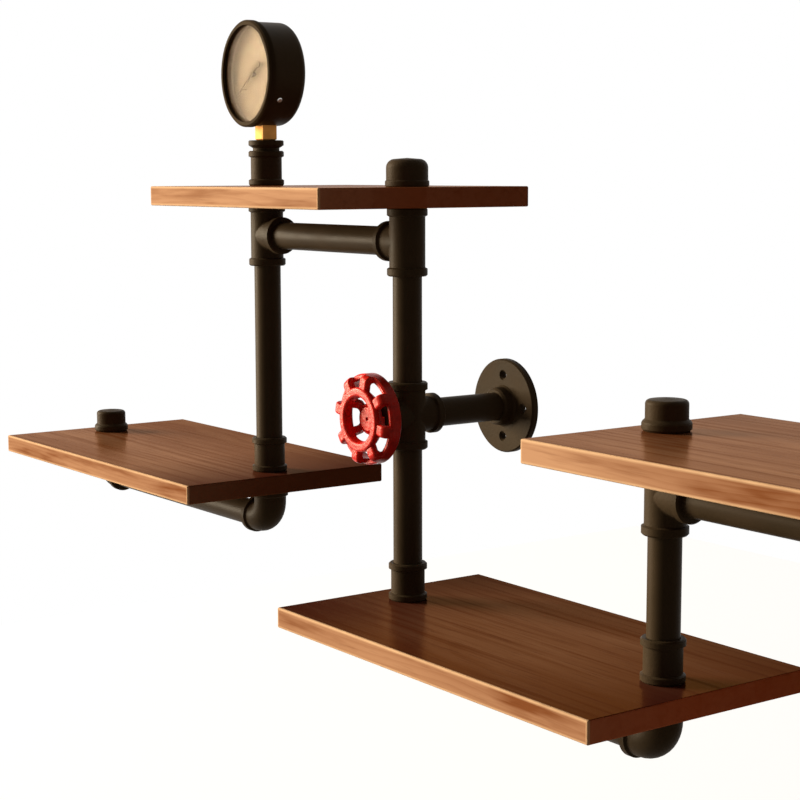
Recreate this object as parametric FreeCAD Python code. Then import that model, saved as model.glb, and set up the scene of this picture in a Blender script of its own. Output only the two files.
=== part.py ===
import FreeCAD, Part
import math
import os

# Industrial pipe wall shelf in millimetres. X runs along the wall to the right, Y into the wall
# and Z up. The origin is the centre of the wall flange's back, so the wall is the plane Y = 0.

# Layout: where the posts and boards are
post_to_wall = 119.0
left_span = 243.5
right_span = 339.0
far_left_span = 361.5
far_right_span = 342.0
top_board_height = 209.0
right_board_height = 24.5
left_board_height = -84.0
bottom_board_height = -173.0

# Boards: the overhang is from the nearest post's axis to the board's end
board_thickness = 19.0
board_depth = 234.5
board_to_wall = 1.0
board_rounding = 1.5
board_hole_clearance = 0.6
top_board_overhang = 30.5
left_board_far_overhang = 37.5
left_board_near_overhang = 34.5
bottom_board_overhang = 43.5
right_board_near_overhang = 35.5
right_board_far_overhang = 39.5

# Pipe and threads
pipe_radius = 13.45
pipe_wall = 2.65
thread_clearance = 0.05

# Cast fittings: the socket is what a pipe screws in by
centre_to_end = 31.0
fitting_radius = 16.5
branch_step = 0.3
bead_radius = 18.6
bead_width = 8.0
bead_rounding = 1.3
bead_flank = 1.2
crotch_rounding = 3.0
socket_depth = 12.5
coupling_length = 35.0
coupling_radius = 15.7
coupling_bead_radius = 17.9

# Caps: a slim kind with a broad bead, and a wide domed kind on the top board
cap_height = 26.0
cap_radius = 16.9
cap_bead_radius = 19.6
cap_bead_width = 9.5
cap_bead_rounding = 1.9
cap_rounding = 3.5
cap_crown = 2.0
wide_cap_radius = 19.2
wide_cap_bead_radius = 20.2
wide_cap_bead_width = 6.0
wide_cap_bead_rounding = 1.0
wide_cap_rounding = 8.0
wide_cap_crown = 1.5

# Wall flange
flange_radius = 45.0
flange_thickness = 6.5
flange_rounding = 1.5
flange_height = 17.0
flange_hub_radius = 18.5
flange_hub_tip_radius = 17.6
flange_hub_rounding = 1.8
flange_root_rounding = 1.8
flange_hole_radius = 3.25
flange_hole_circle_radius = 29.5
flange_hole_count = 4
flange_countersink = 1.8

# Handwheel, its set screw and the plug with the spindle that carries it
plug_head_radius = 16.0
plug_head_height = 4.5
plug_rounding = 1.0
running_gap = 0.3
spindle_radius = 5.0
spindle_length = 7.0
spindle_clearance = 0.05
spindle_groove_radius = 3.4
wheel_pilot_radius = 2.0
set_screw_radius = 1.5
set_screw_setback = 2.6
set_screw_sink = 0.5
set_screw_hex_across_flats = 1.5
set_screw_hex_depth = 1.5
hexagon_sides = 6
wheel_hub_radius = 12.0
wheel_hub_height = 10.0
wheel_hub_rounding = 1.5
wheel_web_thickness = 4.0
wheel_web_setback = 1.5
wheel_web_radius = 21.0
wheel_ring_inner_radius = 21.5
wheel_ring_outer_radius = 29.5
wheel_ring_rise = 11.0
wheel_ring_rounding = 2.5
wheel_back_rounding = 1.5
wheel_radius = 41.5
wheel_wall = 5.5
wheel_shoulder_rounding = 6.0
wheel_band_height = 12.0
wheel_band_rounding = 1.5
wheel_rib_count = 8
wheel_rib_width = 11.0
wheel_rib_rounding = 2.5
wheel_rib_angle = 33.5
wheel_window_count = 5
wheel_window_radius = 26.0
wheel_window_spoke_width = 7.0
wheel_window_rounding = 2.0
wheel_window_angle = 36.0

# Gauge: forward distances are measured from the left post's axis towards the room
gauge_turn = 3.0
gauge_height = 111.5
gauge_front = 23.5
gauge_back = 20.0
case_radius = 51.5
case_wall = 1.8
case_back_rounding = 7.0
case_inner_cut = 3.2
bezel_radius = 53.0
bezel_opening_radius = 48.0
bezel_height = 7.0
bezel_lip = 3.0
bezel_rounding = 1.8
bezel_fit = 0.1
glass_thickness = 2.0
dial_recess = 11.5
dial_thickness = 0.8
dial_wall = 1.2
dial_fit = 0.15
dial_hole_radius = 2.5
dial_zero_angle = 213.0
dial_stop_radius = 24.0
dial_stop_pin_radius = 0.6
dial_stop_pin_height = 4.0
dial_lug_width = 8.0
dial_lug_length = 7.0
dial_lug_depth = 7.0
pointer_length = 38.0
pointer_tail = 20.0
pointer_thickness = 0.8
pointer_height = 3.0
pointer_tip_width = 0.8
pointer_root_width = 2.6
pointer_tail_width = 7.0
pointer_boss_radius = 3.2
pointer_boss_height = 2.4
case_screw_angle = -32.0
case_screw_forward = 8.0
case_screw_radius = 1.5
case_screw_head_radius = 2.6
case_screw_head_height = 1.2

# Gauge stem and the bushing that takes it down to the post
stem_width = 16.0
stem_chamfer = 1.2
stem_fit = 0.2
stem_thread_radius = 6.6
stem_thread_length = 11.0
bushing_rim_radius = 17.8
bushing_rim_height = 5.0
bushing_neck_height = 5.5
bushing_rounding = 1.0

# Gauge movement, behind the dial
block_width = 22.0
block_top = 30.0
block_bottom = 44.0
block_pad_height = 7.0
block_screw_spread = 6.0
movement_front = 5.0
movement_back = 6.5
plate_thickness = 1.5
plate_hub_radius = 7.0
plate_strip_width = 13.0
pillar_radius = 1.8
arbor_radius = 1.2
arbor_clearance = 0.05
tube_radius = 37.0
tube_width = 9.0
tube_height = 3.2
tube_wall = 0.6
tube_end_angle = -15.0
tube_tip_length = 6.0
tube_tip_height = 5.0

# Values worked out from the ones above
overrun = 1.0
half = 0.5
smallest_arc = 2.0
full_turn = 360.0
half_turn = 180.0
quarter_turn = 90.0
join_tolerance = 0.0001
pipe_bore = pipe_radius - pipe_wall
socket_radius = pipe_radius + thread_clearance
board_hole_radius = pipe_radius + board_hole_clearance
socket_seat = centre_to_end - socket_depth
coupling_land = coupling_length - socket_depth - socket_depth
post_y = -post_to_wall
left_x = -left_span
far_left_x = left_x - far_left_span
right_x = right_span
far_right_x = right_x + far_right_span

V = FreeCAD.Vector
UP = V(0, 0, 1)
DOWN = V(0, 0, -1)
LEFT = V(-1, 0, 0)
RIGHT = V(1, 0, 0)
TO_WALL = V(0, 1, 0)
TO_ROOM = V(0, -1, 0)

parts = {}


def rounded_face(corners):
    """A face in the XZ plane from corners (x, z, rounding). Each rounding is an arc tangent to both
    sides, or a straight cut between the same points where it is below the smallest arc."""
    edges = []
    starts = []
    ends = []
    count = len(corners)
    for i in range(count):
        here = V(corners[i][0], 0, corners[i][1])
        before = V(corners[i - 1][0], 0, corners[i - 1][1])
        after = V(corners[(i + 1) % count][0], 0, corners[(i + 1) % count][1])
        back = (before - here).normalize()
        ahead = (after - here).normalize()
        rounding = corners[i][2]
        if rounding == 0:
            starts.append(here)
            ends.append(here)
            continue
        opening = back.getAngle(ahead)
        run = rounding / math.tan(opening * half)
        middle = (back + ahead).normalize()
        centre = here + middle * (rounding / math.sin(opening * half))
        starts.append(here + back * run)
        ends.append(here + ahead * run)
        if rounding < smallest_arc:
            edges.append(Part.LineSegment(starts[i], ends[i]).toShape())
            continue
        edges.append(Part.Arc(starts[i], centre - middle * rounding, ends[i]).toShape())
    for i in range(count):
        following = starts[(i + 1) % count]
        if not ends[i].isEqual(following, join_tolerance):
            edges.append(Part.LineSegment(ends[i], following).toShape())
    wire = Part.Wire(Part.__sortEdges__(edges))
    return Part.Face(wire)


def turned(corners):
    """A turned piece about the Z axis from its half section, corners (radius, height, rounding)."""
    return rounded_face(corners).revolve(V(0, 0, 0), UP, full_turn)


def aimed(shape, direction, place):
    """The shape with its own Z axis turned to a direction and its own origin put at a place."""
    moved = shape.copy()
    moved.Placement = FreeCAD.Placement(place, FreeCAD.Rotation(UP, direction)).multiply(moved.Placement)
    return moved


def rod(radius, low, high):
    """A round bar or cutter on the Z axis between two heights."""
    return Part.makeCylinder(radius, high - low, V(0, 0, low))


def fused(shapes):
    """All the shapes as one clean solid."""
    return shapes[0].fuse(shapes[1:]).removeSplitter()


def board(left_end, right_end, top, posts):
    """One shelf board with eased edges and a hole for each post's nipple."""
    size = V(right_end - left_end, board_depth, board_thickness)
    corner = V(left_end, -board_to_wall - board_depth, top - board_thickness)
    plank = Part.makeBox(size.x, size.y, size.z, corner)
    plank = plank.makeFillet(board_rounding, plank.Edges)
    for post in posts:
        bore = rod(board_hole_radius, -board_thickness - overrun, overrun)
        plank = plank.cut(aimed(bore, UP, V(post, post_y, top)))
    return plank


def pipe(start, end):
    """A straight pipe or nipple between two points."""
    along = end - start
    tube = rod(pipe_radius, 0, along.Length).cut(rod(pipe_bore, -overrun, along.Length + overrun))
    return aimed(tube, along, start)


def outlet(radius):
    """The outside of one outlet, from the fitting's centre to its beaded end."""
    bead_start = centre_to_end - bead_width
    return turned([(0, 0, 0), (radius, 0, 0), (radius, bead_start, 0),
                   (bead_radius, bead_start + bead_flank, 0),
                   (bead_radius, centre_to_end, bead_rounding), (0, centre_to_end, 0)])


def outlet_bore(passage_start):
    """What one outlet is bored with: the threaded socket, and the passage that starts deeper."""
    socket = rod(socket_radius, socket_seat, centre_to_end + overrun)
    return fused([socket, rod(pipe_bore, passage_start, socket_seat + overrun)])


def branched_outside():
    """The outside of a tee with its run upright: the branch is a hair slimmer, its crotch rounded."""
    origin = V(0, 0, 0)
    run = [aimed(outlet(fitting_radius), way, origin) for way in (UP, DOWN)]
    body = fused(run + [aimed(outlet(fitting_radius - branch_step), RIGHT, origin)])
    crotch = [edge for edge in body.Edges if edge.Curve.TypeId not in ("Part::GeomLine", "Part::GeomCircle")]
    return body.makeFillet(crotch_rounding, crotch)


def branched_fitting(centre, turns):
    """A tee or cross with its run upright and one branch at each turn from the right."""
    origin = V(0, 0, 0)
    outside = []
    bores = [aimed(outlet_bore(0), way, origin) for way in (UP, DOWN)]
    for turn in turns:
        side = branched_outside()
        side.rotate(origin, UP, turn)
        outside.append(side)
        bore = aimed(outlet_bore(0), RIGHT, origin)
        bore.rotate(origin, UP, turn)
        bores.append(bore)
    body = fused(outside) if len(outside) > 1 else outside[0]
    for bore in bores:
        body = body.cut(bore)
    body.translate(centre)
    return body


def elbow(centre, turn):
    """A 90 degree elbow, two straight outlets joined by a round bend: one up, one turned from the left."""
    origin = V(0, 0, 0)
    bend_centre = (LEFT + UP) * socket_seat
    outside = []
    inside = []
    for radius, pieces in ((fitting_radius, outside), (pipe_bore, inside)):
        ring = Part.Face(Part.Wire(Part.makeCircle(radius, LEFT * socket_seat, LEFT)))
        pieces.append(ring.revolve(bend_centre, TO_ROOM, quarter_turn))
    bend_side = rod(bead_radius, -overrun, socket_seat)
    for way in (LEFT, UP):
        outside.append(aimed(outlet(fitting_radius).cut(bend_side), way, origin))
        inside.append(aimed(outlet_bore(socket_seat), way, origin))
    body = fused(outside).cut(fused(inside))
    body.rotate(origin, UP, turn)
    body.translate(centre)
    return body


def corner_fitting(centre, ways):
    """A corner elbow with a side outlet: three outlets square to each other round a ball."""
    origin = V(0, 0, 0)
    outside = [aimed(outlet(fitting_radius), way, origin) for way in ways]
    body = fused(outside + [Part.makeSphere(fitting_radius)])
    for way in ways:
        body = body.cut(aimed(outlet_bore(0), way, origin))
    body.translate(centre)
    return body


def coupling(foot):
    """A straight coupling with a bead round each end, standing on the foot point."""
    top = coupling_length
    bead = bead_width - bead_rounding
    land_low = socket_depth
    land_high = socket_depth + coupling_land
    body = turned([(socket_radius, 0, 0), (coupling_bead_radius, 0, bead_rounding),
                   (coupling_bead_radius, bead - bead_flank, 0), (coupling_radius, bead, 0),
                   (coupling_radius, top - bead, 0), (coupling_bead_radius, top - bead + bead_flank, 0),
                   (coupling_bead_radius, top, bead_rounding), (socket_radius, top, 0),
                   (socket_radius, land_high, 0), (pipe_bore, land_high, 0),
                   (pipe_bore, land_low, 0), (socket_radius, land_low, 0)])
    return aimed(body, UP, foot)


def cap_body(radius, bead_radius, bead_width, bead_rounding, rounding, crown):
    """A pipe cap on the Z axis: a low crown with a rounded shoulder and a bead round the mouth."""
    step = bead_radius - radius
    return turned([(socket_radius, 0, 0), (bead_radius, 0, bead_rounding),
                   (bead_radius, bead_width - step, bead_rounding), (radius, bead_width, 0),
                   (radius, cap_height - crown, rounding), (0, cap_height, 0),
                   (0, socket_depth, 0), (socket_radius, socket_depth, 0)])


def cap(foot):
    """The slim cap, standing on the foot point."""
    body = cap_body(cap_radius, cap_bead_radius, cap_bead_width, cap_bead_rounding, cap_rounding, cap_crown)
    return aimed(body, UP, foot)


def wide_cap(foot):
    """The wide domed cap, standing on the foot point."""
    body = cap_body(wide_cap_radius, wide_cap_bead_radius, wide_cap_bead_width, wide_cap_bead_rounding,
                    wide_cap_rounding, wide_cap_crown)
    return aimed(body, UP, foot)


def flange(back):
    """A round wall flange with a raised hub, four countersunk screw holes and a through bore."""
    hub_foot = flange_thickness
    body = turned([(pipe_bore, 0, 0), (flange_radius, 0, 0), (flange_radius, hub_foot, flange_rounding),
                   (flange_hub_radius, hub_foot, flange_root_rounding),
                   (flange_hub_tip_radius, flange_height, flange_hub_rounding),
                   (socket_radius, flange_height, 0), (socket_radius, flange_height - socket_depth, 0),
                   (pipe_bore, flange_height - socket_depth, 0)])
    drill = turned([(0, -overrun, 0), (flange_hole_radius, -overrun, 0),
                    (flange_hole_radius, hub_foot - flange_countersink, 0),
                    (flange_hole_radius + flange_countersink, hub_foot, 0),
                    (flange_hole_radius + flange_countersink, hub_foot + overrun, 0),
                    (0, hub_foot + overrun, 0)])
    for i in range(flange_hole_count):
        turn = full_turn / flange_hole_count * i
        hole = aimed(drill, UP, V(flange_hole_circle_radius, 0, 0))
        hole.rotate(V(0, 0, 0), UP, turn)
        body = body.cut(hole)
    return aimed(body, TO_ROOM, back)


def add_boards():
    """The four boards, each between the posts that carry it. The right one's back edge is notched
    below for the plate of the far flange."""
    parts["top_board"] = board(left_x - top_board_overhang, top_board_overhang,
                               top_board_height, (left_x, 0))
    parts["left_board"] = board(far_left_x - left_board_far_overhang, left_x + left_board_near_overhang,
                                left_board_height, (far_left_x, left_x))
    parts["bottom_board"] = board(-bottom_board_overhang, right_x + bottom_board_overhang,
                                  bottom_board_height, (0, right_x))
    plank = board(right_x - right_board_near_overhang, far_right_x + right_board_far_overhang,
                  right_board_height, (right_x, far_right_x))
    notch = rod(flange_radius + board_hole_clearance, -overrun, flange_thickness + board_hole_clearance)
    parts["right_board"] = plank.cut(aimed(notch, TO_ROOM, V(far_right_x, 0, under(right_board_height))))


def under(board_height):
    """The height of the centre of a fitting that carries a board from below."""
    return board_height - board_thickness - centre_to_end


def through_board(x, board_height, reach_above):
    """The nipple that joins the fitting under a board to the one on top of it."""
    low = under(board_height) + socket_seat
    return pipe(V(x, post_y, low), V(x, post_y, board_height + reach_above))


def upright_pipe(x, low, high):
    """A pipe up a post between two seats."""
    return pipe(V(x, post_y, low), V(x, post_y, high))


def level_pipe(start_x, end_x, height):
    """A rail pipe along the wall between the facing seats of two fittings."""
    return pipe(V(start_x + socket_seat, post_y, height), V(end_x - socket_seat, post_y, height))


def wall_run(x, height, pipe_name, flange_name):
    """The pipe from a fitting's back outlet to its flange on the wall."""
    parts[pipe_name] = pipe(V(x, post_y + socket_seat, height),
                            V(x, -flange_height + socket_depth, height))
    parts[flange_name] = flange(V(x, 0, height))


def add_left_post():
    """From the gauge's coupling down to the left board, and out along it to the far cap."""
    top_rail = under(top_board_height)
    left_rail = under(left_board_height)
    on_coupling = socket_depth + coupling_land
    parts["top_left_coupling"] = coupling(V(left_x, post_y, top_board_height))
    parts["top_left_nipple"] = through_board(left_x, top_board_height, socket_depth)
    parts["top_left_tee"] = branched_fitting(V(left_x, post_y, top_rail), [0])
    parts["left_post_pipe"] = upright_pipe(left_x, left_board_height + on_coupling, top_rail - socket_seat)
    parts["left_coupling"] = coupling(V(left_x, post_y, left_board_height))
    parts["left_nipple"] = through_board(left_x, left_board_height, socket_depth)
    parts["left_elbow"] = elbow(V(left_x, post_y, left_rail), 0)
    parts["left_rail_pipe"] = level_pipe(far_left_x, left_x, left_rail)
    parts["far_left_elbow"] = elbow(V(far_left_x, post_y, left_rail), half_turn)
    parts["far_left_nipple"] = through_board(far_left_x, left_board_height, socket_depth)
    parts["far_left_cap"] = cap(V(far_left_x, post_y, left_board_height))


def add_centre_post():
    """From the top cap down through the cross to the bottom board, and back to the wall."""
    top_rail = under(top_board_height)
    bottom_rail = under(bottom_board_height)
    on_coupling = socket_depth + coupling_land
    parts["top_cap"] = wide_cap(V(0, post_y, top_board_height))
    parts["top_centre_nipple"] = through_board(0, top_board_height, socket_depth)
    parts["top_centre_tee"] = branched_fitting(V(0, post_y, top_rail), [half_turn])
    parts["top_rail_pipe"] = level_pipe(left_x, 0, top_rail)
    parts["upper_centre_pipe"] = upright_pipe(0, socket_seat, top_rail - socket_seat)
    parts["cross"] = branched_fitting(V(0, post_y, 0), [quarter_turn, -quarter_turn])
    parts["lower_centre_pipe"] = upright_pipe(0, bottom_board_height + on_coupling, -socket_seat)
    parts["bottom_coupling"] = coupling(V(0, post_y, bottom_board_height))
    parts["bottom_left_nipple"] = through_board(0, bottom_board_height, socket_depth)
    parts["bottom_left_elbow"] = elbow(V(0, post_y, bottom_rail), half_turn)
    wall_run(0, 0, "wall_pipe", "wall_flange")


def add_right_post():
    """Up from the bottom board to the right board, and out along that board to its own wall flange."""
    bottom_rail = under(bottom_board_height)
    right_rail = under(right_board_height)
    on_coupling = socket_depth + coupling_land
    parts["bottom_rail_pipe"] = level_pipe(0, right_x, bottom_rail)
    parts["bottom_right_elbow"] = elbow(V(right_x, post_y, bottom_rail), 0)
    parts["bottom_right_nipple"] = through_board(right_x, bottom_board_height, socket_depth)
    parts["right_post_coupling"] = coupling(V(right_x, post_y, bottom_board_height))
    parts["right_post_pipe"] = upright_pipe(right_x, bottom_board_height + on_coupling,
                                            right_rail - socket_seat)
    parts["right_tee"] = branched_fitting(V(right_x, post_y, right_rail), [0])
    parts["right_nipple"] = through_board(right_x, right_board_height, socket_depth)
    parts["right_cap"] = cap(V(right_x, post_y, right_board_height))
    parts["right_rail_pipe"] = level_pipe(right_x, far_right_x, right_rail)
    parts["far_right_elbow"] = corner_fitting(V(far_right_x, post_y, right_rail), [LEFT, UP, TO_WALL])
    parts["far_right_nipple"] = through_board(far_right_x, right_board_height, socket_depth)
    parts["far_right_cap"] = cap(V(far_right_x, post_y, right_board_height))
    wall_run(far_right_x, right_rail, "far_right_wall_pipe", "far_right_flange")


# Forward distances of the handwheel's parts, from the centre post's axis
plug_face = centre_to_end + plug_head_height
spindle_end = plug_face + spindle_length
hub_back = plug_face + running_gap
hub_front = hub_back + wheel_hub_height
set_screw_forward = hub_back + set_screw_setback


def hexagon(across_flats, low, high):
    """A hexagonal bar or cutter on the Z axis."""
    step = math.radians(full_turn / hexagon_sides)
    corner = across_flats * half / math.cos(step * half)
    points = [V(corner * math.cos(step * i), corner * math.sin(step * i), low) for i in range(hexagon_sides)]
    return Part.Face(Part.makePolygon(points + points[:1])).extrude(V(0, 0, high - low))


def wheel_plug():
    """The plug in the cross's front outlet, with the grooved spindle that the wheel turns on."""
    groove = set_screw_radius + running_gap
    return turned([(0, socket_seat, 0), (pipe_radius, socket_seat, 0), (pipe_radius, centre_to_end, 0),
                   (plug_head_radius, centre_to_end, 0), (plug_head_radius, plug_face, plug_rounding),
                   (spindle_radius, plug_face, 0), (spindle_radius, set_screw_forward - groove, 0),
                   (spindle_groove_radius, set_screw_forward - groove, 0),
                   (spindle_groove_radius, set_screw_forward + groove, 0),
                   (spindle_radius, set_screw_forward + groove, 0), (spindle_radius, spindle_end, 0),
                   (0, spindle_end, 0)])


def set_screw_hole():
    """The tapped hole through the wheel's hub to the spindle's groove, square to the axis."""
    hole = rod(set_screw_radius, 0, wheel_hub_radius + overrun)
    return aimed(hole, RIGHT, V(0, 0, set_screw_forward))


def wheel_screw():
    """The set screw that keeps the wheel on, its tip in the spindle's groove and a hexagon in its end."""
    tip = spindle_groove_radius + running_gap
    top = wheel_hub_radius - set_screw_sink
    body = rod(set_screw_radius, tip, top)
    socket = hexagon(set_screw_hex_across_flats, top - set_screw_hex_depth, top + overrun)
    return aimed(body.cut(socket), RIGHT, V(0, 0, set_screw_forward))


def handwheel():
    """The dished wheel: a recessed hub and web, a raised front ring, and ribs over a round shoulder
    to the band behind."""
    web_front = hub_front - wheel_web_setback
    web_back = web_front - wheel_web_thickness
    ring_front = hub_front + wheel_ring_rise
    ring_back = ring_front - wheel_wall
    core = turned([(0, hub_back, 0), (wheel_hub_radius, hub_back, wheel_hub_rounding),
                   (wheel_hub_radius, web_back, wheel_hub_rounding),
                   (wheel_web_radius, web_back, wheel_hub_rounding),
                   (wheel_ring_outer_radius, ring_back, wheel_back_rounding),
                   (wheel_ring_outer_radius, ring_front, wheel_ring_rounding),
                   (wheel_ring_inner_radius, ring_front, wheel_ring_rounding),
                   (wheel_web_radius - wheel_ring_rounding, web_front, wheel_hub_rounding),
                   (wheel_hub_radius, web_front, wheel_band_rounding),
                   (wheel_hub_radius, hub_front, wheel_band_rounding), (0, hub_front, 0)])
    window = window_cutter(web_back - overrun, ring_back - wheel_back_rounding)
    for i in range(wheel_window_count):
        opening = window.copy()
        opening.rotate(V(0, 0, 0), UP, wheel_window_angle + full_turn / wheel_window_count * i)
        core = core.cut(opening)
    band_inner = wheel_radius - wheel_wall
    rim_back = hub_back
    band_front = rim_back + wheel_band_height
    band = turned([(band_inner, rim_back, wheel_band_rounding), (wheel_radius, rim_back, wheel_band_rounding),
                   (wheel_radius, band_front, wheel_band_rounding),
                   (band_inner, band_front, wheel_band_rounding)])
    rib_front = ring_front - wheel_band_rounding
    rib_back = rib_front - wheel_wall
    root = wheel_ring_outer_radius - wheel_ring_rounding
    low = band_front - wheel_band_rounding - wheel_band_rounding
    half_width = wheel_rib_width * half
    section = rounded_face([(root, rib_back, 0), (band_inner, rib_back, wheel_back_rounding),
                            (band_inner, low, 0), (wheel_radius, low, 0),
                            (wheel_radius, rib_front, wheel_shoulder_rounding), (root, rib_front, 0)])
    blank = section.revolve(V(0, 0, 0), UP, full_turn / wheel_rib_count)
    blank.rotate(V(0, 0, 0), UP, -full_turn / wheel_rib_count * half)
    slab = Part.makeBox(wheel_radius + overrun, wheel_rib_width, rib_front + overrun, V(0, -half_width, 0))
    rib = blank.common(slab)
    outer = (band_inner + wheel_radius) * half
    front = rib_front - wheel_rib_rounding * half
    edges = []
    for edge in rib.Edges:
        middle = edge.valueAt((edge.FirstParameter + edge.LastParameter) * half)
        beside = abs(abs(middle.y) - half_width) < join_tolerance
        if beside and (math.hypot(middle.x, middle.y) > outer or middle.z > front):
            edges.append(edge)
    rib = rib.makeFillet(wheel_rib_rounding, edges)
    pieces = [core, band]
    for i in range(wheel_rib_count):
        arm = rib.copy()
        arm.rotate(V(0, 0, 0), UP, wheel_rib_angle + full_turn / wheel_rib_count * i)
        pieces.append(arm)
    wheel = fused(pieces)
    bearing = rod(spindle_radius + spindle_clearance, hub_back - overrun, spindle_end + running_gap)
    pilot = rod(wheel_pilot_radius, spindle_end, hub_front + overrun)
    for bore in (bearing, pilot, set_screw_hole()):
        wheel = wheel.cut(bore)
    return wheel


def window_cutter(low, high):
    """One window between two spokes of the wheel's web and dish, with its corners rounded."""
    inner = wheel_hub_radius + wheel_window_rounding
    ring = rod(wheel_window_radius, low, high).cut(rod(inner, low - overrun, high + overrun))
    step = math.radians(full_turn / wheel_window_count)
    side = wheel_radius
    away = wheel_window_spoke_width * half / math.sin(step * half)
    points = [V(away, 0, low), V(away + side * math.cos(step * half), side * math.sin(step * half), low),
              V(away + side, 0, low),
              V(away + side * math.cos(step * half), -side * math.sin(step * half), low), V(away, 0, low)]
    wedge = Part.Face(Part.makePolygon(points)).extrude(V(0, 0, high - low))
    opening = ring.common(wedge)
    upright = [edge for edge in opening.Edges
               if abs(edge.Vertexes[0].Point.z - edge.Vertexes[-1].Point.z) > wheel_window_rounding]
    return opening.makeFillet(wheel_window_rounding, upright)


def add_handwheel():
    """The plug, the wheel that spins on it and the wheel's set screw, in front of the cross."""
    axis_foot = V(0, post_y, 0)
    parts["wheel_plug"] = aimed(wheel_plug(), TO_ROOM, axis_foot)
    parts["wheel_screw"] = aimed(wheel_screw(), TO_ROOM, axis_foot)
    parts["handwheel"] = aimed(handwheel(), TO_ROOM, axis_foot)


# Forward distances and radii of the gauge's parts
glass_front = gauge_front - bezel_lip
glass_back = glass_front - glass_thickness
dial_front = gauge_front - dial_recess
dial_back = dial_front - dial_thickness
case_inner_radius = case_radius - case_wall
dial_radius = case_inner_radius - dial_fit
gauge_place = V(left_x, post_y, top_board_height + gauge_height)


def at_gauge(shape):
    """The gauge's own frame put on the left post and turned a little to the left."""
    moved = shape.copy()
    turn = FreeCAD.Rotation(UP, -gauge_turn)
    moved.Placement = FreeCAD.Placement(gauge_place, turn).multiply(moved.Placement)
    return moved


def facing(shape):
    """A piece drawn about Z, turned so that its Z axis points out of the gauge's face."""
    return aimed(shape, TO_ROOM, V(0, 0, 0))


def gauge_case():
    """The round cup behind the bezel, cut out below for the stem and drilled for its screws."""
    floor = -gauge_back + case_wall
    cup = turned([(0, -gauge_back, 0), (case_radius, -gauge_back, case_back_rounding),
                  (case_radius, glass_back, 0), (case_inner_radius, glass_back, 0),
                  (case_inner_radius, floor + case_inner_cut, 0),
                  (case_inner_radius - case_inner_cut, floor, 0), (0, floor, 0)])
    cup = facing(cup)
    slot = stem_width + stem_fit + stem_fit
    cut = Part.makeBox(slot, slot, case_radius, V(-slot * half, -slot * half, -case_radius - case_wall))
    cup = cup.cut(cut)
    for screw in case_screws() + block_screws():
        cup = cup.cut(screw)
    return cup


def gauge_bezel():
    """The ring that holds the glass down on the case."""
    skirt = gauge_front - bezel_height
    inner = case_radius + bezel_fit
    ring = turned([(bezel_opening_radius, glass_front, 0), (inner, glass_front, 0), (inner, skirt, 0),
                   (bezel_radius, skirt, 0), (bezel_radius, gauge_front, bezel_rounding),
                   (bezel_opening_radius, gauge_front, 0)])
    return facing(ring)


def gauge_glass():
    """The flat pane between the bezel's lip and the case's edge."""
    return facing(rod(case_radius, glass_back, glass_front))


def small_screw(low, seat):
    """A small round-headed screw on the Z axis, its head on the seat."""
    top = seat + case_screw_head_height
    return turned([(0, low, 0), (case_screw_radius, low, 0), (case_screw_radius, seat, 0),
                   (case_screw_head_radius, seat, 0),
                   (case_screw_head_radius, top, case_screw_head_height * half), (0, top, 0)])


def case_screws():
    """The two screws through the case's side into the dial's lugs."""
    screws = []
    for angle in (case_screw_angle, half_turn - case_screw_angle):
        body = small_screw(dial_radius - dial_lug_depth * half, case_radius)
        way = V(math.cos(math.radians(angle)), 0, math.sin(math.radians(angle)))
        screws.append(aimed(body, way, V(0, -case_screw_forward, 0)))
    return screws


def block_screws():
    """The two screws through the case's back into the stem's block."""
    body = small_screw(gauge_back - case_wall - block_pad_height, gauge_back)
    height = stem_chamfer + block_pad_height * half - block_bottom
    return [aimed(body, TO_WALL, V(side * block_screw_spread, 0, height)) for side in (-1, 1)]


def gauge_dial():
    """The dial plate with its raised rim, the stop pin and the two lugs for the case screws."""
    rim_front = glass_back - dial_fit
    plate = turned([(dial_hole_radius, dial_back, 0), (dial_radius, dial_back, 0),
                    (dial_radius, rim_front, 0), (dial_radius - dial_wall, rim_front, 0),
                    (dial_radius - dial_wall, dial_front, dial_wall), (dial_hole_radius, dial_front, 0)])
    pieces = [facing(plate)]
    stop = math.radians(dial_zero_angle) + stop_lead()
    pin = rod(dial_stop_pin_radius, dial_back, dial_front + dial_stop_pin_height)
    at_stop = V(dial_stop_radius * math.cos(stop), 0, dial_stop_radius * math.sin(stop))
    pieces.append(aimed(pin, TO_ROOM, at_stop))
    lug_low = case_screw_forward - dial_lug_length * half
    for angle in (case_screw_angle, half_turn - case_screw_angle):
        lug = Part.makeBox(dial_lug_depth, dial_back - lug_low, dial_lug_width,
                           V(dial_radius - dial_lug_depth, -dial_back, -dial_lug_width * half))
        limit = facing(rod(dial_radius, lug_low, dial_back))
        lug.rotate(V(0, 0, 0), TO_ROOM, angle)
        pieces.append(lug.common(limit))
    dial = fused(pieces)
    for screw in case_screws():
        dial = dial.cut(screw)
    return dial


def stop_lead():
    """The angle from the pointer's zero to the stop pin that it rests against."""
    share = dial_stop_radius / pointer_length
    width = pointer_root_width + (pointer_tip_width - pointer_root_width) * share
    return (width * half + dial_stop_pin_radius + running_gap) / dial_stop_radius


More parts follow.
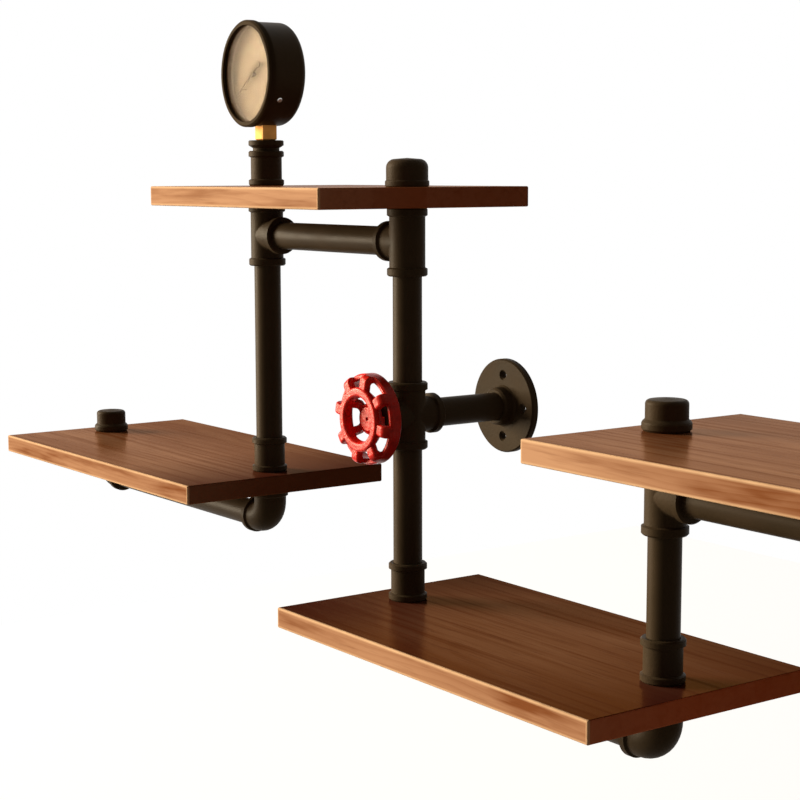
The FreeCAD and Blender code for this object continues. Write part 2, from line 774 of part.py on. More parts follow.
def gauge_pointer():
    """The pointer at zero: a tapering hand with a broad tail, its boss, and the arbor behind the dial."""
    low = dial_front + pointer_height
    outline = [(pointer_length, 0), (pointer_length - pointer_tip_width, pointer_tip_width * half),
               (0, pointer_root_width * half), (-pointer_tail * half, pointer_root_width * half),
               (-pointer_tail + pointer_root_width, pointer_tail_width * half), (-pointer_tail, 0)]
    mirrored = [(x, -y) for x, y in reversed(outline[1:-1])]
    points = [V(x, y, low) for x, y in outline + mirrored]
    hand = Part.Face(Part.makePolygon(points + points[:1])).extrude(V(0, 0, pointer_thickness))
    boss_low = low - pointer_boss_height * half
    boss = rod(pointer_boss_radius, boss_low, boss_low + pointer_boss_height)
    arbor = rod(arbor_radius, -movement_back - plate_thickness, boss_low + overrun)
    whole = facing(fused([hand, boss, arbor]))
    whole.rotate(V(0, 0, 0), TO_ROOM, dial_zero_angle)
    return whole


def stem_block():
    """The block on top of the stem that carries the movement and the curved tube."""
    return Part.makeBox(block_width, movement_front + movement_back, block_bottom - block_top,
                        V(-block_width * half, -movement_front, -block_bottom))


def gauge_socket():
    """The brass stem: a threaded end, a square to turn it by, and the block with its pad on the case."""
    foot = coupling_length + bushing_neck_height + bushing_rim_height - gauge_height
    side = stem_width
    square = Part.makeBox(side, side, -block_bottom - foot, V(-side * half, -side * half, foot))
    square = square.makeChamfer(stem_chamfer, [edge for edge in square.Edges
                                               if edge.BoundBox.ZMax < foot + overrun])
    pad = Part.makeBox(block_width, gauge_back - case_wall - movement_back, block_pad_height,
                       V(-block_width * half, movement_back, stem_chamfer - block_bottom))
    thread = rod(stem_thread_radius, foot - stem_thread_length, foot + overrun)
    body = fused([square, stem_block(), pad, thread])
    for screw in block_screws():
        body = body.cut(screw)
    return body


def gauge_bushing():
    """The bushing in the top coupling: a plain neck and a flared rim, tapped for the stem."""
    seat = top_board_height + coupling_length
    top = bushing_neck_height + bushing_rim_height
    tapped = stem_thread_radius + thread_clearance
    body = turned([(tapped, -socket_depth, 0), (pipe_radius, -socket_depth, 0),
                   (pipe_radius, bushing_neck_height * half, 0), (bushing_rim_radius, bushing_neck_height, 0),
                   (bushing_rim_radius, top, bushing_rounding), (tapped, top, 0)])
    return aimed(body, UP, V(left_x, post_y, seat))


def movement_frame():
    """The two plates of the movement on the stem's block, with their pillars and arbor holes."""
    plates = []
    foot = stem_chamfer + block_pad_height + running_gap - block_bottom
    for low in (movement_front, -movement_back - plate_thickness):
        strip = Part.makeBox(plate_strip_width, plate_thickness, -foot,
                             V(-plate_strip_width * half, -low - plate_thickness, foot))
        disc = facing(rod(plate_hub_radius, low, low + plate_thickness))
        plates.append(fused([strip, disc]))
    pillars = []
    for side in (-1, 1):
        place = V(side * (plate_strip_width * half - pillar_radius), 0, -block_top * half)
        pillars.append(aimed(rod(pillar_radius, -movement_back, movement_front), TO_ROOM, place))
    frame = fused(plates + pillars)
    hole = rod(arbor_radius + arbor_clearance, -gauge_back, gauge_front)
    return frame.cut(facing(hole))


def bourdon_tube():
    """The curved flat tube that straightens under pressure, from the block round to its closed tip."""
    start = half_turn + math.degrees(math.acos(block_width * half / (tube_radius + tube_height)))
    sweep = start - tube_end_angle
    outer = tube_section(0)
    inner = tube_section(tube_wall)
    ring = outer.cut(inner)
    ring.rotate(V(0, 0, 0), TO_ROOM, tube_end_angle)
    tube = ring.revolve(V(0, 0, 0), TO_ROOM, sweep)
    tip = Part.makeBox(tube_tip_height, tube_width, tube_tip_length,
                       V(tube_radius - tube_tip_height * half, -tube_middle() - tube_width * half,
                         -tube_tip_length))
    tip.rotate(V(0, 0, 0), TO_ROOM, tube_end_angle)
    return tube.cut(stem_block()).fuse(tip)


def tube_middle():
    """How far forward the middle of the curved tube is."""
    return (movement_front - movement_back) * half


def tube_section(inset):
    """The flat section of the curved tube, or of its bore, with its corners cut."""
    wide = tube_width * half - inset
    high = tube_height * half - inset
    middle = tube_middle()
    section = rounded_face([(tube_radius - high, -wide, high), (tube_radius + high, -wide, high),
                            (tube_radius + high, wide, high), (tube_radius - high, wide, high)])
    section.rotate(V(0, 0, 0), RIGHT, quarter_turn)
    section.translate(V(0, -middle, 0))
    return section


def add_gauge():
    """The pressure gauge on the left post."""
    parts["gauge_bushing"] = gauge_bushing()
    parts["gauge_socket"] = at_gauge(gauge_socket())
    parts["gauge_case"] = at_gauge(gauge_case())
    parts["gauge_bezel"] = at_gauge(gauge_bezel())
    parts["gauge_glass"] = at_gauge(gauge_glass())
    parts["gauge_dial"] = at_gauge(gauge_dial())
    parts["gauge_pointer"] = at_gauge(gauge_pointer())
    parts["gauge_movement_frame"] = at_gauge(movement_frame())
    parts["gauge_bourdon_tube"] = at_gauge(bourdon_tube())
    parts["gauge_case_screws"] = at_gauge(Part.makeCompound(case_screws() + block_screws()))


add_boards()
add_left_post()
add_centre_post()
add_right_post()
add_handwheel()
add_gauge()

os.makedirs("parts", exist_ok=True)
for name, shape in parts.items():
    shape.exportStep(f"parts/{name}.step")
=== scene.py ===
import math

import bmesh
import bpy
from mathutils import Matrix, Vector


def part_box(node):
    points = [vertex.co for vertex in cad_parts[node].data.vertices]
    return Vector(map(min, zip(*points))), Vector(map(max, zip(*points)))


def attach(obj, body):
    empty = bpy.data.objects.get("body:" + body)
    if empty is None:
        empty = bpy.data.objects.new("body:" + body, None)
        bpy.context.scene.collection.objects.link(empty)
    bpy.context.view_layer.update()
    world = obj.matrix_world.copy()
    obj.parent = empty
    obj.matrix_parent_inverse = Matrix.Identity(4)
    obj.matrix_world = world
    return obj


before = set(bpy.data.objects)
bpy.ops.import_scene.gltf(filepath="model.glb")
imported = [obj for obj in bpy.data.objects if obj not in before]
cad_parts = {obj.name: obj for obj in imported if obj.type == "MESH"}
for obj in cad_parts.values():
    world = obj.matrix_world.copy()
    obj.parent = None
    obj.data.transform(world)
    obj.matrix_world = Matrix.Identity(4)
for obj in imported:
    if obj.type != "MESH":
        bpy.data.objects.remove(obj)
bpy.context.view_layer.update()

# Camera. It stands in the room to the right of the shelf and a little above its middle,
# with a long lens that looks along the boards.
camera_place = Vector((1.3277, -1.0817, 0.2214))
camera_yaw = math.radians(54.298)
camera_pitch = math.radians(7.209)
camera_roll = math.radians(-0.141)
camera_lens = 80.765

view = bpy.data.cameras.new("photo_view")
view.sensor_width = 36.0
view.lens = camera_lens
view.clip_start = 0.01
camera = bpy.data.objects.new("photo_view", view)
bpy.context.collection.objects.link(camera)
turn = Matrix.Rotation(camera_yaw, 4, "Z") @ Matrix.Rotation(math.pi / 2 - camera_pitch, 4, "X")
camera.matrix_world = Matrix.Translation(camera_place) @ turn @ Matrix.Rotation(camera_roll, 4, "Z")
bpy.context.scene.camera = camera


# Floor. A wide pale floor well below the shelf, nearly white to the camera, that still takes
# the shelf's shadow.
class Wire:
    """One socket in a material's nodes. A plain sum on it adds the Math nodes that work it out."""

    def __init__(self, socket):
        self.socket = socket

    def node(self, kind, settings, inputs):
        """Another node of this material: its settings are made first, then its sockets are set or linked."""
        made = self.socket.id_data.nodes.new(kind)
        for name, value in settings.items():
            setattr(made, name, value)
        for name, value in inputs.items():
            if isinstance(name, int):
                socket = made.inputs[name]
            else:
                socket = next(s for s in made.inputs if s.enabled and s.name == name)
            if isinstance(value, Wire):
                made.id_data.links.new(value.socket, socket)
            else:
                socket.default_value = value
        return Wire(next(s for s in made.outputs if s.enabled))

    def out(self, name):
        """Another output of the same node."""
        return Wire(self.socket.node.outputs[name])

    def into(self, socket):
        """Links this value into a shader's own socket."""
        self.socket.id_data.links.new(self.socket, socket)

    def maths(self, operation, *others):
        """A Math node on this value and others."""
        values = [self, *others]
        return self.node("ShaderNodeMath", {"operation": operation}, dict(enumerate(values)))

    def __add__(self, other):
        return self.maths("ADD", other)

    def __sub__(self, other):
        return self.maths("SUBTRACT", other)

    def __rsub__(self, other):
        return self.node("ShaderNodeMath", {"operation": "SUBTRACT"}, {0: other, 1: self})

    def __mul__(self, other):
        return self.maths("MULTIPLY", other)

    def __truediv__(self, other):
        return self.maths("DIVIDE", other)

    __radd__ = __add__
    __rmul__ = __mul__


def seen_as_white(tree):
    """One where a ray from the camera, a reflection or a pane looks at this place, nought for light."""
    rays = Wire(tree.nodes.new("ShaderNodeLightPath").outputs["Is Camera Ray"])
    seen = rays.maths("MAXIMUM", rays.out("Is Glossy Ray"))
    return seen.maths("MAXIMUM", rays.out("Is Transmission Ray"))


floor_height = -0.95
floor_half_width = 3.0
floor_colour = (0.25, 0.245, 0.24, 1.0)
floor_roughness = 0.9
floor_gloss = 0.1
floor_glow_strength = 0.82

floor_mesh = bpy.data.meshes.new("floor")
floor_sheet = bmesh.new()
bmesh.ops.create_grid(floor_sheet, x_segments=1, y_segments=1, size=floor_half_width,
                      matrix=Matrix.Translation((0, 0, floor_height)))
floor_sheet.to_mesh(floor_mesh)
floor_sheet.free()
floor = bpy.data.objects.new("floor", floor_mesh)
bpy.context.collection.objects.link(floor)
floor_paint = bpy.data.materials.new("pale floor")
floor_paint.use_nodes = True
floor_tree = floor_paint.node_tree
floor_surface = floor_tree.nodes["Principled BSDF"]
floor_surface.inputs["Base Color"].default_value = floor_colour
floor_surface.inputs["Roughness"].default_value = floor_roughness
floor_surface.inputs["Specular IOR Level"].default_value = floor_gloss
floor_seen = seen_as_white(floor_tree)
floor_glow = floor_seen.node("ShaderNodeEmission", {}, {
    "Color": (1, 1, 1, 1), "Strength": floor_seen * floor_glow_strength})
floor_both = floor_seen.node("ShaderNodeAddShader", {}, {
    0: Wire(floor_surface.outputs["BSDF"]), 1: floor_glow})
floor_both.into(floor_tree.nodes["Material Output"].inputs["Surface"])
floor_mesh.materials.append(floor_paint)

# Light. One tall soft box low in the front left, as the narrow warm strips on the pipes show, and a
# weak glow from the white room all round.
key_direction = Vector((-0.83, -0.54, 0.19)).normalized()
key_distance = 12.0
key_width = 6.0
key_height = 8.0
key_power = 4100.0
key_colour = (1.0, 0.90, 0.70)
key_target = Vector((0.05, -0.12, 0.05))
room_fill = 0.085
room_fill_colour = (1.0, 0.86, 0.70, 1.0)

key = bpy.data.lights.new("soft_box", "AREA")
key.shape = "RECTANGLE"
key.size = key_width
key.size_y = key_height
key.energy = key_power
key.color = key_colour
key_lamp = bpy.data.objects.new("soft_box", key)
bpy.context.collection.objects.link(key_lamp)
key_place = Matrix.Translation(key_target + key_direction * key_distance)
key_lamp.matrix_world = key_place @ key_direction.to_track_quat("Z", "Y").to_matrix().to_4x4()

room = bpy.data.worlds.new("white room")
bpy.context.scene.world = room
room.use_nodes = True
room_tree = room.node_tree
room_glow = room_tree.nodes["Background"]
room_glow.inputs["Color"].default_value = room_fill_colour
room_glow.inputs["Strength"].default_value = room_fill
room_seen = seen_as_white(room_tree)
room_white = room_seen.node("ShaderNodeBackground", {}, {"Color": (1, 1, 1, 1), "Strength": 1.0})
room_mix = room_seen.node("ShaderNodeMixShader", {}, {
    "Fac": room_seen, 1: Wire(room_glow.outputs["Background"]), 2: room_white})
room_mix.into(room_tree.nodes["World Output"].inputs["Surface"])
bpy.context.scene.view_settings.view_transform = "Standard"


# Boards. Pine panels glued up from staves, stained brown by hand and varnished, and clamped between the
# couplings and caps above and the fittings below. The front lips are pale, partly rubbed and partly a
# painted highlight where the rounded edges catch the light, and a dark line runs along the top a little
# behind the front. The end grain takes the stain darker, and the right ends carry painted light and shade as
# well. The tops carry painted shade, most of all on the bottom board, and the right board's front has
# painted shade towards its right end.
stave_width = 0.058
stave_seed = 7.3
heart_seed = 5.1
ring_spacing = 0.0042
ring_wander = 0.036
heart_depth = 0.045
late_wood_rise = (0.45, 0.95)
late_wood_fall = (0.0, 0.06)
wander_patches = (2.6, 8.0, 8.0)
broad_patches = (2.2, 9.0, 9.0)
cloud_patches = (6.0, 30.0, 55.0)
front_patches = (9.0, 40.0, 70.0)
stain_lines = (3.2, 150.0, 150.0)
pore_strokes = (22.0, 560.0, 560.0)
fibre_strokes = (30.0, 1300.0, 1300.0)
# Patches in the pale lips, which are partly rubbed and partly a painted highlight.
lip_wear_and_highlight_patches = (45.0, 45.0, 45.0)
grain_depth = 0.00012
grain_strength = 0.4

pale_stain = (0.510, 0.275, 0.160, 1.0)
deep_stain = (0.200, 0.066, 0.024, 1.0)
line_stain = (0.085, 0.024, 0.010, 1.0)
# The pale lips' colour, partly rubbed stain and partly a painted highlight.
lip_wear_and_highlight_colour = (0.78, 0.50, 0.30, 1.0)
# The colour of the painted shade on the tops.
painted_top_shade_colour = (0.062, 0.0105, 0.007, 1.0)
varnish_tint = (1.0, 0.65, 0.43, 1.0)
varnish_roughness = 0.16
varnish_wear = (0.09, 0.21)

# How far from the front, the top, the ends and the lips a board's faces begin and end, in metres.
front_lip = (0.0008, 0.0020)
top_lip = (0.0004, 0.0012)
end_lip = (0.0004, 0.0009)
end_reach = 0.15
# How far behind the front the right end's painted light fades out.
end_light_reach = 0.10
dark_line_place = 0.0045
dark_line_fade = (0.0004, 0.0014)
# The band of the pale lips, which are partly rubbed and partly a painted highlight.
lip_wear_and_highlight_band = (0.0010, 0.0028)
lip_wear_and_highlight_front_band = (0.0012, 0.0026)


def finish(name):
    """A new material, its surface shader, and the place on the object to draw its pattern by."""
    made = bpy.data.materials.new(name)
    made.use_nodes = True
    tree = made.node_tree
    place = Wire(tree.nodes.new("ShaderNodeTexCoord").outputs["Object"])
    return made, tree.nodes["Principled BSDF"].inputs, place


def noise(place, per_metre, detail):
    """Noise with so many patches to the metre along X, Y and Z."""
    spread = place.node("ShaderNodeVectorMath", {"operation": "MULTIPLY"}, {0: place, 1: per_metre})
    return place.node("ShaderNodeTexNoise", {}, {"Vector": spread, "Scale": 1.0, "Detail": detail})


def steep(value, low, high):
    """Nought below one value and one above another, with an even slope between."""
    return value.node("ShaderNodeMapRange", {}, {"Value": value, "From Min": low, "From Max": high})


def tint(share, colour, other):
    """A colour part of the way from one to another."""
    return share.node("ShaderNodeMix", {"data_type": "RGBA"}, {"Factor": share, "A": colour, "B": other})


def relief(height, depth, strength):
    """The bump that a height gives, in metres at its fullest."""
    return height.node("ShaderNodeBump", {}, {"Height": height, "Distance": depth, "Strength": strength})


def uneven(along, left, right):
    """A value that runs evenly from a board's left end to its right end."""
    return along * (right - left) + left


def luck_of(stave, seed):
    """A number of its own for each stave."""
    return stave.node("ShaderNodeTexWhiteNoise", {"noise_dimensions": "1D"}, {"W": stave + seed})


def board_wood(name, low, high, shine, painted_top_shade, top_stain, front_stain_and_shade, end_stain_and_light):
    """Board wood between two corners. The stain went on unevenly: the top and front stain shares are given
    at the board's left end and its right, and on the right board's front that share also holds painted
    shade, darker towards its right end. The top shade is painted shade on the top: how dark the top is at
    its left end, middle and right. The end colour is the right end's darker stain with painted light and
    shade in it, set board by board, and lighter towards the front.
    The varnish mirrors the room in the wood's own warm tone: shine is how much of it at the left and middle
    and at the right, and the share that is worn off towards the back."""
    made, surface, place = finish(name)
    apart = place.node("ShaderNodeSeparateXYZ", {}, {"Vector": place})
    from_left = apart.out("X") - low.x
    to_right = high.x - apart.out("X")
    behind = apart.out("Y") - low.y
    above = apart.out("Z") - low.z
    below = high.z - apart.out("Z")
    along = from_left / (high.x - low.x)
    to_end = from_left.maths("MINIMUM", to_right)
    to_lip = to_end.maths("MINIMUM", above.maths("MINIMUM", below))

    near_left = 1.0 - steep(from_left, 0.0, end_reach)
    near_right = 1.0 - steep(to_right, 0.0, end_reach)
    front = 1.0 - steep(behind, *front_lip)
    top_face = 1.0 - steep(below, *top_lip)
    end_grain = 1.0 - steep(to_end, *end_lip)

    stave = (behind / stave_width).maths("FLOOR")
    stave_luck = luck_of(stave, low.x * stave_seed)
    heart_luck = luck_of(stave, low.z * heart_seed)
    across = behind - (stave + stave_luck) * stave_width
    rise = above + heart_depth * (0.4 + heart_luck)
    wander = (noise(place, wander_patches, 2.0) - 0.5) * ring_wander
    ring = (((across * across + rise * rise).maths("SQRT") + wander) / ring_spacing).maths("FRACT")
    late_wood = steep(ring, *late_wood_rise) * steep(1.0 - ring, *late_wood_fall)

    fibre = noise(place, fibre_strokes, 2.0)
    pores = steep(noise(place, pore_strokes, 2.0), 0.60, 0.70)
    lines = steep(noise(place, stain_lines, 3.0), 0.50, 0.68)
    cloud = steep(noise(place, cloud_patches, 3.0), 0.32, 0.70)
    patch = steep(noise(place, front_patches, 3.0), 0.48, 0.72)
    broad = noise(place, broad_patches, 1.0) - 0.5
    lip_wear_and_highlight_variation = noise(place, lip_wear_and_highlight_patches, 3.0)

    on_top = lines * 0.32 + cloud * 0.34 + late_wood * 0.12 + (heart_luck - 0.5) * 0.44 + broad * 0.8
    on_top = on_top + uneven(along, *top_stain)
    # On the right board the front's stain share also holds painted shade that darkens the front towards its
    # right end.
    on_front = cloud * 0.20 + patch * 0.62 + lines * 0.12 + late_wood * 0.14 + uneven(along, *front_stain_and_shade)
    depth = on_top + (on_front - on_top) * front
    colour = tint(depth.maths("MAXIMUM", 0.0), pale_stain, deep_stain)
    colour = tint(pores * (0.5 - front * 0.35), colour, line_stain)

    # Painted shade on the top face, as dark as the given shares at the left end, the middle and the right
    # end.
    painted_top_shade_share = near_left * (painted_top_shade[0] - painted_top_shade[1]) + near_right * (painted_top_shade[2] - painted_top_shade[1]) + painted_top_shade[1]
    colour = tint(top_face * painted_top_shade_share, colour, painted_top_shade_colour)
    # A dark line along the top, a little behind the front edge.
    dark_line = (behind - dark_line_place).maths("ABSOLUTE")
    dark_line = (1.0 - steep(dark_line, *dark_line_fade)) * top_face
    colour = tint(dark_line * 0.6, colour, line_stain)

    # The ends are stained darker; the right end also carries painted light and shade of each board's own,
    # lighter towards the front.
    right_end_stain_and_light = tint(steep(behind, 0.0, end_light_reach) * 0.25 + 0.75, pale_stain, end_stain_and_light)
    colour = tint(end_grain * 0.85, colour, tint(along, deep_stain, right_end_stain_and_light))
    # A pale band along the lips, partly rubbed stain and partly a painted highlight where the rounded edges
    # catch the light.
    lip_wear_and_highlight = (1.0 - steep(to_lip, *lip_wear_and_highlight_band)) * (1.0 - steep(behind, *lip_wear_and_highlight_front_band))
    colour = tint(lip_wear_and_highlight * (0.45 + lip_wear_and_highlight_variation * 0.5), colour, lip_wear_and_highlight_colour)
    colour.into(surface["Base Color"])

    (varnish_roughness + pores * 0.06 + fibre * 0.05 + end_grain * 0.30).into(surface["Roughness"])
    relief(fibre * 0.35 - pores * 0.8 - late_wood * 0.2, grain_depth, grain_strength).into(surface["Normal"])
    mirror = near_right * (shine[1] - shine[0]) + shine[0]
    mirror = mirror * (1.0 - steep(behind, *varnish_wear) * shine[2])
    ((1.0 - front) * (1.0 - lines * 0.3) * (1.0 - end_grain * 0.8) * mirror).into(surface["Metallic"])
    surface["Specular IOR Level"].default_value = 0.0
    surface["Specular Tint"].default_value = varnish_tint
    return made


def dress(node, material):
    """Gives a CAD node its material."""
    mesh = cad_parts[node].data
    mesh.materials.clear()
    mesh.materials.append(material)


# The top shade and the right end's colour below are painted light and shade set board by board, and the
# right board's front stain also runs into painted shade towards its right end.
board_looks = {
    "top_board": {"shine": (0.36, 0.36, 0.1), "painted_top_shade": (0.0, 0.0, 0.0), "top_stain": (0.62, 0.62),
                  "front_stain_and_shade": (-0.06, -0.06), "end_stain_and_light": (0.290, 0.070, 0.025, 1.0)},
    "left_board": {"shine": (0.38, 0.15, 0.55), "painted_top_shade": (0.0, 0.02, 0.90), "top_stain": (0.55, 0.60),
                   "front_stain_and_shade": (0.28, 0.34), "end_stain_and_light": (0.130, 0.040, 0.017, 1.0)},
    "bottom_board": {"shine": (0.20, 0.25, 0.3), "painted_top_shade": (0.95, 0.60, 0.95), "top_stain": (0.40, 0.30),
                     "front_stain_and_shade": (0.22, 0.30), "end_stain_and_light": (0.560, 0.105, 0.032, 1.0)},
    "right_board": {"shine": (0.40, 0.40, 0.1), "painted_top_shade": (0.05, 0.0, 0.0), "top_stain": (0.60, 0.42),
                    "front_stain_and_shade": (-0.20, 1.15), "end_stain_and_light": (0.290, 0.070, 0.025, 1.0)},
}
for board, look in board_looks.items():
    board_low, board_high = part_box(board)
    dress(board, board_wood(board.replace("_", " ") + " wood", board_low, board_high, **look))


# Pipes. Drawn steel tube of the 3/4 inch size, cut to length and screwed into the fittings. It has a smooth
# satin black paint, a little uneven where it was brushed on.
pipe_black = (0.041, 0.027, 0.014, 1.0)
pipe_worn = (0.056, 0.036, 0.020, 1.0)
black_gloss_tint = (1.0, 0.72, 0.48, 1.0)


def black_paint(name, patches, grain, depth, roughness, shine):
    """Black paint with so many brushed patches and specks to the metre, raised by a depth."""
    made, surface, place = finish(name)
    cloud = steep(noise(place, (patches, patches, patches), 4.0), 0.35, 0.70)
    speck = noise(place, (grain, grain, grain), 3.0)
    tint(cloud, pipe_black, pipe_worn).into(surface["Base Color"])
    (roughness + cloud * 0.10 + speck * 0.06).into(surface["Roughness"])
    relief(speck * 0.7 + cloud * 0.3, depth, 0.6).into(surface["Normal"])
    surface["Specular IOR Level"].default_value = shine
    surface["Specular Tint"].default_value = black_gloss_tint
    return made


pipe_paint = black_paint("black pipe paint", patches=22.0, grain=700.0, depth=0.00010,
                         roughness=0.36, shine=0.037)
for pipe in ("left_post_pipe", "left_rail_pipe", "top_rail_pipe", "upper_centre_pipe", "lower_centre_pipe",
             "wall_pipe", "bottom_rail_pipe", "right_post_pipe", "right_rail_pipe", "far_right_wall_pipe",
             "top_left_nipple", "left_nipple", "far_left_nipple", "top_centre_nipple",
             "bottom_left_nipple", "bottom_right_nipple", "right_nipple", "far_right_nipple"):
    dress(pipe, pipe_paint)

# Fittings. Malleable iron castings, tapped and screwed onto the pipes. The paint is the same black, with the
# grain of the sand mould showing through it.
casting_paint = black_paint("black casting paint", patches=40.0, grain=420.0, depth=0.00035,
                            roughness=0.42, shine=0.034)
for fitting in ("top_left_coupling", "top_left_tee", "left_coupling", "left_elbow", "far_left_elbow",
                "far_left_cap", "top_cap", "top_centre_tee", "cross", "bottom_coupling", "bottom_left_elbow",
                "bottom_right_elbow", "right_post_coupling", "right_tee", "right_cap", "far_right_elbow",
                "far_right_cap", "wheel_plug", "gauge_bushing", "wall_flange", "far_right_flange"):
    dress(fitting, casting_paint)

# Handwheel. Cast in iron in one piece, with eight ribs over a dished web, and kept on its spindle by a set
# screw. It was dipped in a bright red enamel, darker in scattered patches.
wheel_red = (0.74, 0.020, 0.011, 1.0)
wheel_deep = (0.30, 0.006, 0.006, 1.0)
wheel_gloss = 0.13
wheel_gloss_tint = (1.0, 0.62, 0.45, 1.0)
enamel_patches = (120.0, 120.0, 120.0)
enamel_dimples = (330.0, 330.0, 330.0)
dimple_depth = 0.0005

enamel, enamel_surface, enamel_place = finish("red wheel enamel")
enamel_cloud = steep(noise(enamel_place, enamel_patches, 3.0), 0.35, 0.70)
tint(enamel_cloud * 0.8, wheel_red, wheel_deep).into(enamel_surface["Base Color"])
(0.24 + enamel_cloud * 0.14).into(enamel_surface["Roughness"])
relief(noise(enamel_place, enamel_dimples, 2.0), dimple_depth, 0.5).into(enamel_surface["Normal"])
enamel_surface["Specular IOR Level"].default_value = wheel_gloss
enamel_surface["Specular Tint"].default_value = wheel_gloss_tint
dress("handwheel", enamel)


# Screws. Turned from steel and plated with bright zinc: the set screw in the wheel's hub, and the four small
# round-headed ones that hold the gauge's case and dial.
scratch_depth = 0.00005
dull_patches = (60.0, 60.0, 60.0)


def bare_metal(name, colour, roughness, scratches):
    """Bare metal with so many scratches to the metre along X, Y and Z, gone dull in patches."""
    made, surface, place = finish(name)
    scratch = noise(place, scratches, 3.0)
    dull = steep(noise(place, dull_patches, 3.0), 0.35, 0.70)
    darker = tuple(part * 0.72 for part in colour[:3]) + (1.0,)
    tint(dull * 0.6, colour, darker).into(surface["Base Color"])
    (roughness + scratch * 0.10 + dull * 0.12).into(surface["Roughness"])
    relief(scratch, scratch_depth, 0.4).into(surface["Normal"])
    surface["Metallic"].default_value = 1.0
    return made


screw_steel = bare_metal("zinc plated steel", colour=(0.55, 0.54, 0.52, 1.0), roughness=0.30,
                         scratches=(900.0, 900.0, 900.0))
dress("wheel_screw", screw_steel)
dress("gauge_case_screws", screw_steel)

# Gauge stem. A square brass bar, milled bright on its faces, that carries the whole gauge. Its threaded end
# screws into the black bushing on top of the left post.
dress("gauge_socket", bare_metal("milled brass", colour=(0.46, 0.212, 0.052, 1.0), roughness=0.60,
                                 scratches=(1500.0, 1500.0, 180.0)))

# Gauge case and bezel. A cup pressed from sheet steel and screwed to the stem's block from behind, and a
# rolled ring pushed over its edge. Both are sprayed a fine black, duller on the ring.
dress("gauge_case", black_paint("black case paint", patches=18.0, grain=1400.0, depth=0.00005,
                                roughness=0.38, shine=0.06))
dress("gauge_bezel", black_paint("black bezel paint", patches=18.0, grain=1400.0, depth=0.00005,
                                 roughness=0.55, shine=0.012))

# Gauge glass. A flat clear pane, laid on the edge of the case and held down by the bezel's lip. Light goes
# nearly straight through, and the pane mirrors a little of the lamp.
pane_colour = (0.97, 0.98, 0.96, 1.0)
pane_gloss_colour = (1.0, 0.82, 0.66, 1.0)
pane_gloss_roughness = 0.04
pane_gloss_share = 0.0055

pane = bpy.data.materials.new("gauge pane")
pane.use_nodes = True
pane_tree = pane.node_tree
pane_tree.nodes.remove(pane_tree.nodes["Principled BSDF"])
pane_clear = Wire(pane_tree.nodes.new("ShaderNodeBsdfTransparent").outputs["BSDF"])
pane_clear.socket.node.inputs["Color"].default_value = pane_colour
pane_gloss = pane_clear.node("ShaderNodeBsdfGlossy", {}, {
    "Color": pane_gloss_colour, "Roughness": pane_gloss_roughness})
pane_mix = pane_clear.node("ShaderNodeMixShader", {}, {
    "Fac": pane_gloss_share, 1: pane_clear, 2: pane_gloss})
pane_mix.into(pane_tree.nodes["Material Output"].inputs["Surface"])
dress("gauge_glass", pane)

# Gauge dial. A sheet metal dish in cream enamel, held by two screws through the side of the case. A plain
# scale from nought to ten is printed on it in a dark brown ink.
dial_cream = (0.232, 0.140, 0.083, 1.0)
dial_aged = (0.198, 0.118, 0.068, 1.0)
dial_patches = (30.0, 30.0, 30.0)
dial_gloss = 0.1

cream, cream_surface, cream_place = finish("cream dial enamel")
cream_cloud = steep(noise(cream_place, dial_patches, 4.0), 0.35, 0.70)
tint(cream_cloud * 0.6, dial_cream, dial_aged).into(cream_surface["Base Color"])
(0.60 + cream_cloud * 0.1).into(cream_surface["Roughness"])
cream_surface["Specular IOR Level"].default_value = dial_gloss
dress("gauge_dial", cream)

gauge_centre = Vector((-0.2435, -0.119, 0.3205))
gauge_turn = math.radians(-3.0)
dial_face = 0.0120
scale_start = math.radians(213.0)
scale_sweep = math.radians(-246.0)
scale_top = 10
scale_steps = 50
steps_to_long_tick = 5
number_step = 2
scale_outer = 0.0445
long_tick_inner = 0.0405
short_tick_inner = 0.0425
long_tick_width = 0.0009
short_tick_width = 0.0004
number_radius = 0.0345
number_size = 0.0080
ink_thickness = 0.00012
ink_dark = (0.050, 0.036, 0.026, 1.0)
ink_faded = (0.10, 0.075, 0.055, 1.0)
ink_patches = (200.0, 200.0, 200.0)
ink_roughness = 0.8
face_of_gauge = (Matrix.Translation(gauge_centre) @ Matrix.Rotation(gauge_turn, 4, "Z")
                 @ Matrix.Rotation(math.pi / 2, 4, "X") @ Matrix.Translation((0, 0, dial_face)))


def printed_tick(marks, angle, inner, width):
    """One straight printed tick of the scale, lying on the dial along a radius."""
    middle = Matrix.Translation(((inner + scale_outer) / 2, 0, ink_thickness / 2))
    size = Matrix.Diagonal((scale_outer - inner, width, ink_thickness, 1.0))
    bmesh.ops.create_cube(marks, size=1.0,
                          matrix=face_of_gauge @ (Matrix.Rotation(angle, 4, "Z") @ middle) @ size)


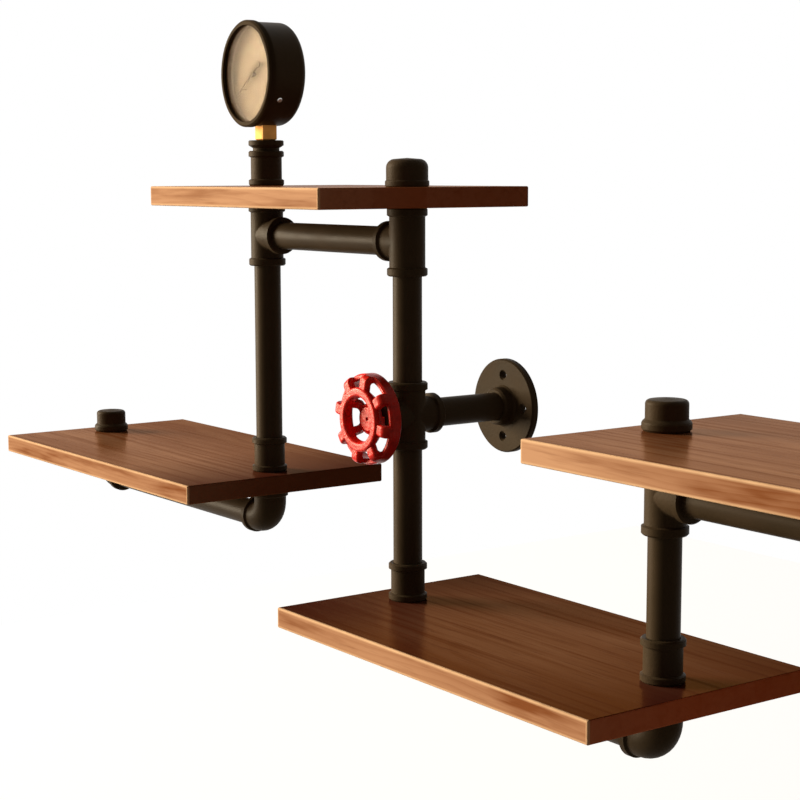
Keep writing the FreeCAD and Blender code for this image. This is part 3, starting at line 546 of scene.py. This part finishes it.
marks = bmesh.new()
for step in range(scale_steps + 1):
    angle = scale_start + scale_sweep * step / scale_steps
    if step % steps_to_long_tick == 0:
        printed_tick(marks, angle, long_tick_inner, long_tick_width)
    else:
        printed_tick(marks, angle, short_tick_inner, short_tick_width)
for number in range(0, scale_top + 1, number_step):
    angle = scale_start + scale_sweep * number / scale_top
    words = bpy.data.curves.new("dial_number", "FONT")
    words.body = str(number)
    words.size = number_size
    words.align_x = "CENTER"
    words.align_y = "CENTER"
    words.extrude = ink_thickness / 2
    letter = bpy.data.objects.new("dial_number", words)
    shape = bpy.data.meshes.new_from_object(letter)
    shape.transform(face_of_gauge @ Matrix.Translation((
        number_radius * math.cos(angle), number_radius * math.sin(angle), ink_thickness / 2)))
    marks.from_mesh(shape)
    bpy.data.objects.remove(letter)
marks_mesh = bpy.data.meshes.new("gauge_dial_marks")
marks.to_mesh(marks_mesh)
marks.free()
dial_marks = bpy.data.objects.new("gauge_dial_marks", marks_mesh)
bpy.context.collection.objects.link(dial_marks)
ink, ink_surface, ink_place = finish("dial ink")
tint(noise(ink_place, ink_patches, 2.0), ink_dark, ink_faded).into(ink_surface["Base Color"])
ink_surface["Roughness"].default_value = ink_roughness
ink_surface["Specular IOR Level"].default_value = 0.0
marks_mesh.materials.append(ink)
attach(dial_marks, "frame")

# Gauge pointer. A thin hand blanked from sheet, with a broad tail, pressed onto the movement's arbor. It is
# painted a dull dark brown.
pointer_brown = (0.055, 0.036, 0.021, 1.0)
pointer_faded = (0.085, 0.055, 0.032, 1.0)
pointer_patches = (150.0, 150.0, 150.0)
pointer_roughness = 0.8

pointer_paint, pointer_surface, pointer_place = finish("pointer paint")
pointer_cloud = noise(pointer_place, pointer_patches, 3.0)
tint(pointer_cloud, pointer_brown, pointer_faded).into(pointer_surface["Base Color"])
pointer_surface["Roughness"].default_value = pointer_roughness
pointer_surface["Specular IOR Level"].default_value = 0.0
dress("gauge_pointer", pointer_paint)

# Gauge movement. Two stamped brass plates that stand on the stem's block and carry the pointer's arbor, and
# a flat bronze tube, drawn and bent to a curve, that straightens under pressure.
dress("gauge_movement_frame", bare_metal("stamped brass", colour=(0.72, 0.52, 0.22, 1.0), roughness=0.34,
                                         scratches=(700.0, 700.0, 700.0)))
dress("gauge_bourdon_tube", bare_metal("drawn bronze", colour=(0.62, 0.36, 0.20, 1.0), roughness=0.34,
                                       scratches=(800.0, 800.0, 800.0)))
